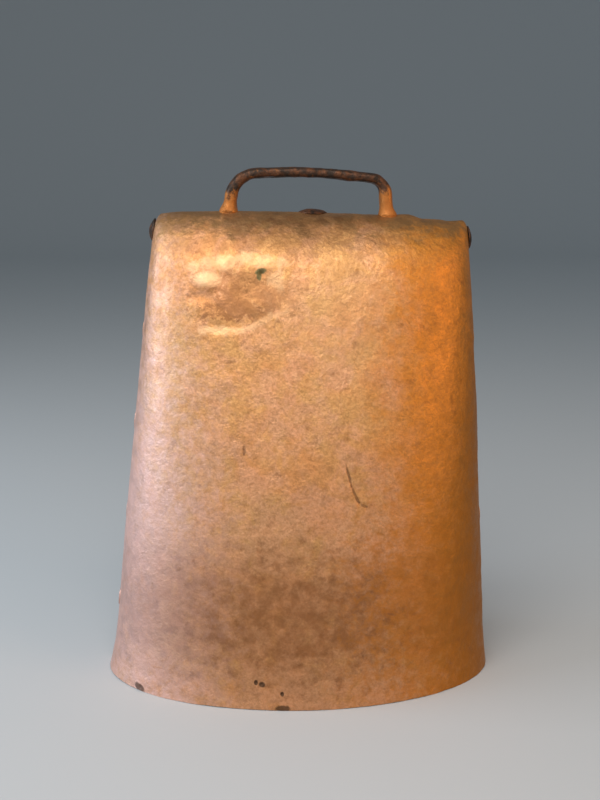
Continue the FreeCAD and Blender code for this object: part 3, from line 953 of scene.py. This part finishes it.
FRONT_DENTS = [
    Dent([(50, 224)], -0.8, 9.0),                                           # the ridge's hump and dip
    Dent([(60, 223), (70, 223)], 0.9, 9.0, step=10),
    Dent([(-68, 226)], 0.9, 9.0),
    Dent([(80, 208), (82, 185), (85, 160)], 0.4, 24.0, step=26),
    Dent([(-43, 195.7)], -0.9, 6.0),                                        # a boss pushed out
    Dent([(-50, 189), (-43, 188)], 0.35, 4.5),
    Dent([(-33, 196), (-25, 192), (-17, 193), (-11, 190)], 0.30, 9.0, step=6),   # a shallow hollow
    Dent([(-46, 177.5), (-38, 174.8), (-29, 176.0)], 0.27, 3.6, step=3),
    Dent([(-25, 177.5), (-16, 181.0), (-9, 184.0)], 0.15, 4.2, step=3),
    Dent([(-41, 170.5), (-31, 170.8)], -0.14, 3.0, step=3),
    Dent([(-31, 183), (-24, 186), (-28, 190), (-20, 188)], 0.16, 2.6, Falloff.SHARP, step=4),
    Dent([(-36, 186), (-30, 194)], -0.16, 2.8, step=5),
    Dent([(-18.4, 198.9)], 1.1, 2.6, Falloff.SHARP, cuts=2),
    Dent([(19.4, 112.0), (21.6, 103.4), (25.2, 95.4), (28.6, 93.8)], 0.26, 1.1, Falloff.SHARP, cuts=2,
         step=0.9),
    Dent([(-47, 202), (-38, 205), (-29, 202), (-21, 205.5), (-12, 202.5)], 0.15, 3.0, step=9),
    Dent([(-52, 199), (-33, 200)], -0.12, 2.6, step=9),
    Dent([(-27.2, 122), (-27.0, 118.5)], 0.35, 1.1, Falloff.SHARP, cuts=2, step=0.9),
    Dent([(-22.7, 12.6)], 0.8, 1.3, Falloff.SHARP, cuts=2),
    Dent([(-19.9, 11.8)], 0.9, 1.5, Falloff.SHARP, cuts=2),
    Dent([(-10.7, 7.8)], 0.7, 1.2, Falloff.SHARP, cuts=2),
    Dent([(-78.2, 1.7)], 0.5, 1.4, Falloff.SHARP, cuts=1),
]

BACK_DENTS = [
    Dent([(-48, 224)], 0.7, 10.0),
    Dent([(28, 150)], 0.6, 20.0),
    Dent([(-42, 92), (-30, 80)], 0.4, 10.0, step=7),
    Dent([(12, 58)], -0.35, 9.0),
    Dent([(-5, 182), (9, 183), (20, 186)], 0.28, 4.0, step=3),
    Dent([(22, 98), (28, 93)], 0.25, 3.5, step=3),
]


# ---- what is fastened to the bell ----

def bell_point(x: float, y: float, z: float) -> Vector:
    """A point of the upright bell, leaned with it."""
    return Matrix.Rotation(LEAN, 3, "Y") @ Vector((x, y, z))


def side_line(height: float) -> float:
    """Half the bell's outside width at that height: a bowed taper, with the flared lip below."""
    share = height / RIDGE
    flare = LIP_FLARE * max(0.0, 1 - height / LIP_HEIGHT) ** 2
    return MOUTH_HALF - (MOUTH_HALF - RIDGE_HALF) * share + SIDE_BOW * share * (1 - share) + flare


@dataclass
class Rivet:
    """A rivet through both sheets, peened outside and clenched inside."""

    side: int                        # -1 is the left side, 1 the right
    height: float
    radius: float                    # of the head
    rise: float                      # of the head
    shank: float = 2.5 * MM
    clench: float = 4.5 * MM         # radius of the clenched end
    clench_rise: float = 1.6 * MM

    def build(self, name: str) -> Piece:
        """Builds it through the middle of the lap, square to the side."""
        place = bell_point(self.side * side_line(self.height), 0, self.height)
        slope = (side_line(self.height + MM) - side_line(self.height - MM)) / (2 * MM)
        out = (Matrix.Rotation(LEAN, 3, "Y") @ Vector((self.side, 0, -slope))).normalized()
        end = [(-WALL - z, r) for z, r in reversed(dome(self.clench, self.clench_rise, 0.4 * MM))]
        head = dome(self.radius, self.rise, 0.5 * MM)
        shank = [(end[-1][0] + 0.05 * MM, self.shank), (head[0][0] - 0.05 * MM, self.shank)]
        levels = end + shank + head
        piece = turned(name, levels, place, out)
        divide(piece, 1)
        relief(piece, "VORONOI", 4.5 * MM, 0.16 * MM)
        relief(piece, "CLOUDS", 2.2 * MM, 0.08 * MM, noise_depth=2)
        smooth(piece, 55)
        return piece


@dataclass
class Fastenings:
    """The corner rivets and the rows of flush rivets down both sides."""

    corner_height: float = 215.2 * MM
    corner_radius: float = 5.4 * MM
    corner_rises: tuple[float, float] = (1.9 * MM, 1.3 * MM)     # left and right
    heights: tuple[float, ...] = (34 * MM, 79 * MM, 124 * MM, 169 * MM)
    flush_radius: float = 5.0 * MM
    flush_rise: float = 0.5 * MM

    def build(self, dark: Material, skin: Material) -> None:
        """Builds and dresses all the rivets.

        Args:
            dark: the corner rivets' finish.
            skin: the flush rivets' finish, which the braze ran over.
        """
        for name, side, rise in zip(("left", "right"), (-1, 1), self.corner_rises):
            corner = Rivet(side, self.corner_height, self.corner_radius, rise)
            corner = corner.build(name + "_corner_head")
            row = [Rivet(side, height, self.flush_radius, self.flush_rise) for height in self.heights]
            row = [rivet.build(f"{name}_seam_head_{i}") for i, rivet in enumerate(row)]
            seam = joined(name + "_seam_heads", *row)
            for piece, material, node in ((corner, dark, "_corner_rivet"),
                                          (seam, skin, "_seam_rivets")):
                finish(piece, material)
                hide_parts(name + node)
                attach(piece, "bell")
                report(piece)


@dataclass
class Handle:
    """The forged handle, bent from bar, with upset feet brazed onto the ridge."""

    span: float = 74.6 * MM
    offset: float = -1.9 * MM
    draft: float = 7.5               # degrees that each leg leans inwards
    root: float = 3.5 * MM           # the legs' centrelines start this far below the ridge
    left: float = 16.7 * MM          # rise to where the bar and the left leg would meet
    crest: float = 18.8 * MM         # rise of the bar's highest place
    right: float = 15.9 * MM
    crest_offset: float = -2.0 * MM
    bends: tuple[float, float, float] = (12 * MM, 180 * MM, 8 * MM)
    half_bar: float = 5.6 * MM       # radius of the blank, before it is hammered to its section
    shank: float = 3.0 * MM          # radius of the tenons
    clench: tuple[float, float] = (4.5 * MM, 1.7 * MM)   # their ends' radius and rise
    washer: float = 1.5 * MM

    def corners(self) -> list[Vector]:
        """The centreline's corners from the left foot to the right one."""
        slant = math.tan(math.radians(self.draft))
        legs = []
        for side, rise in ((-1, self.left), (1, self.right)):
            foot = Vector((self.offset + side * self.span / 2, 0, RIDGE))
            leg = Vector((-side * slant, 0, 1))
            legs.append((foot - leg * self.root, foot + leg * rise))
        (left_foot, left_bend), (right_foot, right_bend) = legs
        crest = Vector((self.crest_offset, 0, RIDGE + self.crest))
        return [left_foot, left_bend, crest, right_bend, right_foot]

    def moves(self, corners: list[Vector]) -> list[Straight | Bend]:
        """The bar's straights and bends along those corners."""
        out: list[Straight | Bend] = []
        start = corners[0]
        for before, corner, after, radius in zip(corners, corners[1:], corners[2:], self.bends):
            inwards, onwards = (corner - before).normalized(), (after - corner).normalized()
            turn = inwards.angle(onwards)
            stop = corner - inwards * (radius * math.tan(turn / 2))
            length = (stop - start).length
            out.append(Straight(length, max(2, round(length / MM))))
            out.append(Bend(radius, math.degrees(turn), onwards, max(3, round(radius * turn / MM))))
            start = corner + onwards * (radius * math.tan(turn / 2))
        length = (corners[-1] - start).length
        out.append(Straight(length, max(2, round(length / MM))))
        return out

    def build(self, iron: Material) -> None:
        """Bends the bar, hammers it to its section, marks it and dresses it.

        Args:
            iron: its finish.
        """
        corners = self.corners()
        heading = (corners[1] - corners[0]).normalized()
        bar = forged_bar("forged_handle", corners[0], heading, self.half_bar, self.moves(corners), 40)
        lean(bar)
        form = copy_of(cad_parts["handle"], "handle_form")
        weld(form, 0.002 * MM)
        wrap(bar, form, 1)
        modify(bar, "SMOOTH", factor=0.5, iterations=3)
        relief(bar, "VORONOI", 7 * MM, 0.26 * MM)
        relief(bar, "CLOUDS", 9 * MM, 0.28 * MM, noise_depth=1)
        relief(bar, "CLOUDS", 2.6 * MM, 0.12 * MM, noise_depth=2)
        smooth(bar)
        feet = [self.tenon(side) for side in (-1, 1)]
        piece = joined("forged_handle", bar, *feet)
        finish(piece, iron)
        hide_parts("handle")
        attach(piece, "bell")
        report(piece)

    def tenon(self, side: int) -> Piece:
        """The clenched end of a leg's tenon inside the crown."""
        x = self.offset + side * self.span / 2
        drop = RIDGE_DROP * (x / RIDGE_HALF) ** 2
        levels = [(z + self.washer, r) for z, r in dome(*self.clench, 0.3 * MM)]
        levels = [(-6 * MM, self.shank), (levels[0][0] - 0.05 * MM, self.shank)] + levels
        place = bell_point(x, 0, RIDGE - drop - WALL)
        piece = turned(f"tenon_{side}", levels, place, bell_point(0, 0, -1), 32)
        relief(piece, "CLOUDS", 2.5 * MM, 0.12 * MM, noise_depth=2)
        smooth(piece, 55)
        return piece


@dataclass
class Staple:
    """The clapper's staple: a peened head on the crown and a ring inside."""

    head: tuple[float, float] = (6.6 * MM, 1.7 * MM)    # radius and rise
    shank: float = 3.0 * MM
    wire: float = 2.5 * MM
    bend: float = 6.0 * MM
    straight: float = 4.0 * MM
    ring_middle: float = 207.5 * MM

    def build(self, dark: Material) -> None:
        """Builds it and dresses it.

        Args:
            dark: its finish.
        """
        reach = self.bend + self.straight / 2
        shaft, ring = self.shaft(self.ring_middle + reach), self.ring(reach)
        piece = joined("staple", shaft, ring)
        lean(piece)
        finish(piece, dark)
        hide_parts("clapper_staple")
        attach(piece, "bell")
        report(piece)

    def ring(self, reach: float) -> Piece:
        """The ring that the link hangs from, with short straights between its four bends."""
        start = Vector((self.straight / 2, 0, self.ring_middle + reach))
        moves: list[Straight | Bend] = []
        for towards in (DOWN, LEFT, UP, RIGHT):
            moves += [Bend(self.bend, 90, towards), Straight(self.straight, 3)]
        ring = forged_bar("staple_ring", start, RIGHT, self.wire, moves)
        relief(ring, "CLOUDS", 3 * MM, 0.10 * MM, noise_depth=2)
        smooth(ring)
        return ring

    def shaft(self, foot: float) -> Piece:
        """The shank from the ring's top up through the crown, with its peened head."""
        levels = [(foot - RIDGE, self.shank), (-0.6 * MM, self.shank), *dome(*self.head, 0.5 * MM)]
        shaft = turned("staple_shaft", levels, Vector((0, 0, RIDGE)), UP)
        divide(shaft, 1)
        relief(shaft, "VORONOI", 5 * MM, 0.2 * MM)
        relief(shaft, "CLOUDS", 2.2 * MM, 0.10 * MM, noise_depth=2)
        smooth(shaft, 55)
        return shaft


@dataclass
class Clapper:
    """The oval link, and the rod and ball that hang from it."""

    hang: Vector = field(default_factory=lambda: Vector((5.432, 0, 179.979)) * MM)  # link's lowest wire
    wire: float = 2.25 * MM
    bend: float = 5.75 * MM
    wide: float = 3.0 * MM
    tall: float = 13.0 * MM
    eye_middle: float = 177.529 * MM
    eye_ring: float = 8.0 * MM
    eye_wire: float = 3.0 * MM
    rod: tuple[float, float] = (3.5 * MM, 5.0 * MM)      # radii at the top and on the ball
    ball_middle: float = 44.0 * MM
    ball: tuple[float, float, float] = (15 * MM, 16 * MM, 7 * MM)  # belly, half length, flat
    neck: float = 3.4 * MM           # radius of the rod inside the ball
    bore: float = 3.6 * MM           # radius of the ball's hole
    shoulder: float = 0.1 * MM       # gap under the rod's shoulder
    peen: tuple[float, float] = (5.5 * MM, 3.9 * MM)     # radius and rise of the rod's clenched end

    def build(self, iron: Material) -> None:
        """Builds link, rod and ball and dresses them.

        Args:
            iron: their finish.
        """
        for make, node, body in ((self.link, "clapper_link", "link"),
                                 (self.shaft, "clapper_rod", "clapper"),
                                 (self.striker, "clapper_ball", "clapper")):
            piece = make()
            finish(piece, iron)
            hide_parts(node)
            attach(piece, body)
            report(piece)

    def link(self) -> Piece:
        """The link, bent from round bar and welded shut."""
        start = self.hang + Vector((0, self.wide / 2, 0))
        moves: list[Straight | Bend] = []
        for towards, length in ((UP, self.tall), (FRONT, self.wide),
                                (DOWN, self.tall), (BACK, self.wide)):
            moves += [Bend(self.bend, 90, towards), Straight(length, max(3, round(length / MM)))]
        piece = forged_bar("oval_link", start, BACK, self.wire, moves)
        relief(piece, "CLOUDS", 3.5 * MM, 0.10 * MM, noise_depth=2)
        smooth(piece)
        return piece

    def shaft(self) -> Piece:
        """The rod: an eye on top, a taper, a shoulder on the ball and a clenched end under it."""
        ball_top, ball_foot = self.ball_middle + self.ball[1], self.ball_middle - self.ball[1]
        top = self.eye_middle - self.eye_ring
        shoulder = ball_top + self.shoulder
        levels = [(ball_foot - z, r) for z, r in reversed(dome(*self.peen, 0))][:-1]
        levels += [(ball_foot, self.neck), (ball_top, self.neck), (shoulder, self.rod[1])]
        rows = 60
        for row in range(1, rows + 1):
            share = row / rows
            levels.append((shoulder + (top - ball_top) * share,
                           self.rod[1] + (self.rod[0] - self.rod[1]) * share))
        place = Vector((self.hang.x, 0, 0))
        rod = turned("clapper_shaft", levels, place, UP, 28)
        eye = forged_bar("clapper_eye", Vector((self.hang.x, 0, top)), RIGHT, self.eye_wire,
                         [Bend(self.eye_ring, 360, UP, 48)])
        piece = joined("clapper_shaft", rod, eye)
        relief(piece, "VORONOI", 8 * MM, 0.18 * MM)
        relief(piece, "CLOUDS", 2.4 * MM, 0.10 * MM, noise_depth=2)
        smooth(piece, 55)
        return piece

    def striker(self) -> Piece:
        """The ball, forged round a bore, with its worn belly."""
        belly, half, flat = self.ball
        rows = 24
        levels = [(-half, self.bore)]
        bow = ((belly - flat) ** 2 + half ** 2) / (2 * (belly - flat))
        for row in range(rows + 1):
            z = -half + 2 * half * row / rows
            levels.append((z, belly - bow + math.sqrt(bow ** 2 - z ** 2)))
        levels.append((half, self.bore))
        place = Vector((self.hang.x, 0, self.ball_middle))
        piece = turned("clapper_striker", levels, place, UP, 64)
        divide(piece, 1)
        relief(piece, "VORONOI", 9 * MM, 0.35 * MM)
        relief(piece, "CLOUDS", 2.6 * MM, 0.12 * MM, noise_depth=2)
        smooth(piece, 55)
        return piece


# ---- the studio ----

@dataclass(frozen=True)
class Lamp:
    """A soft square lamp that faces the bell's middle."""

    name: str
    place: tuple[float, float, float]
    size: float
    power: float
    colour: Colour
    aim: tuple[float, float, float] = (0, 0, 0.12)

    def hang(self) -> None:
        """Hangs it in its place."""
        bpy.ops.object.light_add(type="AREA", location=self.place)
        lamp = bpy.context.active_object
        lamp.name = self.name
        facing = Vector(self.aim) - Vector(self.place)
        lamp.rotation_euler = facing.to_track_quat("-Z", "Y").to_euler()
        lamp.data.size = self.size
        lamp.data.energy = self.power
        lamp.data.color = self.colour


@dataclass
class Studio:
    """Camera, floor and lights."""

    distance: float = 0.5264          # from the bell's middle, level
    height: float = 0.240
    swing: float = math.radians(2.5)  # the camera stands this far round to the bell's left
    pitch: float = math.atan(0.2)     # looks down by this much
    lens: float = 49.5
    sensor: float = 36.0
    floor: float = 6.0                # the floor's width and depth
    sweep: float = 2.0                # radius of its sweep up behind the bell
    wall: float = 4.0                 # height of the wall above that
    world: tuple[float, float, float, float] = (0.55, 0.63, 0.68, 1.0)
    world_strength: float = 0.42
    lamps: tuple[Lamp, ...] = (
        Lamp("key", (-0.25, -0.80, 0.95), 1.05, 13.5, (1.0, 0.96, 0.90)),
        Lamp("window", (-1.0, -0.15, 0.45), 0.7, 7.5, (0.72, 0.86, 1.0)),
        Lamp("fill", (0.85, -0.65, 0.45), 0.5, 3.2, (1.0, 0.60, 0.30)),
    )

    def build(self) -> None:
        """Builds all of it."""
        self.add_camera()
        self.add_floor()
        self.add_lights()

    def add_camera(self) -> None:
        """Sets the camera level with the handle, looking down at the mouth."""
        across, away = math.sin(self.swing) * self.distance, math.cos(self.swing) * self.distance
        bpy.ops.object.camera_add(location=(-across, -away, self.height),
                                  rotation=(math.pi / 2 - self.pitch, 0, -self.swing))
        camera = bpy.context.active_object
        camera.data.lens = self.lens
        camera.data.sensor_width = self.sensor
        camera.data.clip_start = 0.01
        bpy.context.scene.camera = camera

    def add_floor(self) -> None:
        """Lays a floor that sweeps up far behind the bell."""
        edge = self.floor / 2
        bpy.ops.mesh.primitive_plane_add(size=self.floor, location=(0, 0, 0))
        floor = named("floor")
        edit_at(floor, points(floor)[:, 1] > 0.9 * edge)
        bpy.ops.mesh.select_mode(type="VERT")
        bpy.ops.mesh.spin(steps=16, angle=math.pi / 2, center=(0, edge, self.sweep), axis=(-1, 0, 0))
        bpy.ops.mesh.extrude_region_move(TRANSFORM_OT_translate={"value": (0, 0, self.wall)})
        done()
        smooth(floor)
        floor.data.materials.append(Paper().build())

    def add_lights(self) -> None:
        """Hangs the lamps and sets a pale world."""
        for lamp in self.lamps:
            lamp.hang()
        world = bpy.data.worlds.new("studio")
        world.use_nodes = True
        background = world.node_tree.nodes["Background"]
        background.inputs["Color"].default_value = self.world
        background.inputs["Strength"].default_value = self.world_strength
        bpy.context.scene.world = world
        bpy.context.scene.view_settings.view_transform = "Standard"


def main() -> None:
    """Builds the studio and the bell's pieces in order."""
    logging.basicConfig(level=logging.INFO, format="%(name)s: %(message)s")
    Studio().build()
    back = BrazedSkin("brazed_back", BACK_MARKS).build()
    front = BrazedSkin("brazed_front", FRONT_MARKS).build()
    iron = ForgedIron().build()
    handle_iron = ForgedIron("handle_iron", copper=(0.44, 0.15, 0.026), copper_share=0.25,
                             copper_line=239 * MM).build()
    inside = ForgedIron("inside_iron", scale=(0.07, 0.036, 0.02), rust=(0.22, 0.095, 0.04),
                        copper=(0.40, 0.18, 0.07), copper_share=0.42, metallic=0.5).build()
    for name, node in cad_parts.items():
        if name.endswith("rove"):
            finish(node, iron)
    for shell, skin in ((Shell("front_shell", "front_sheet", -1, FRONT_DENTS), front),
                        (Shell("back_shell", "back_sheet", 1, BACK_DENTS), back)):
        piece = shell.build()
        shell.bead(piece, back)
        shell.thicken(piece, skin, inside)
    Fastenings().build(iron, front)
    Handle().build(handle_iron)
    Staple().build(iron)
    Clapper().build(iron)


if __name__ == "__main__":
    main()
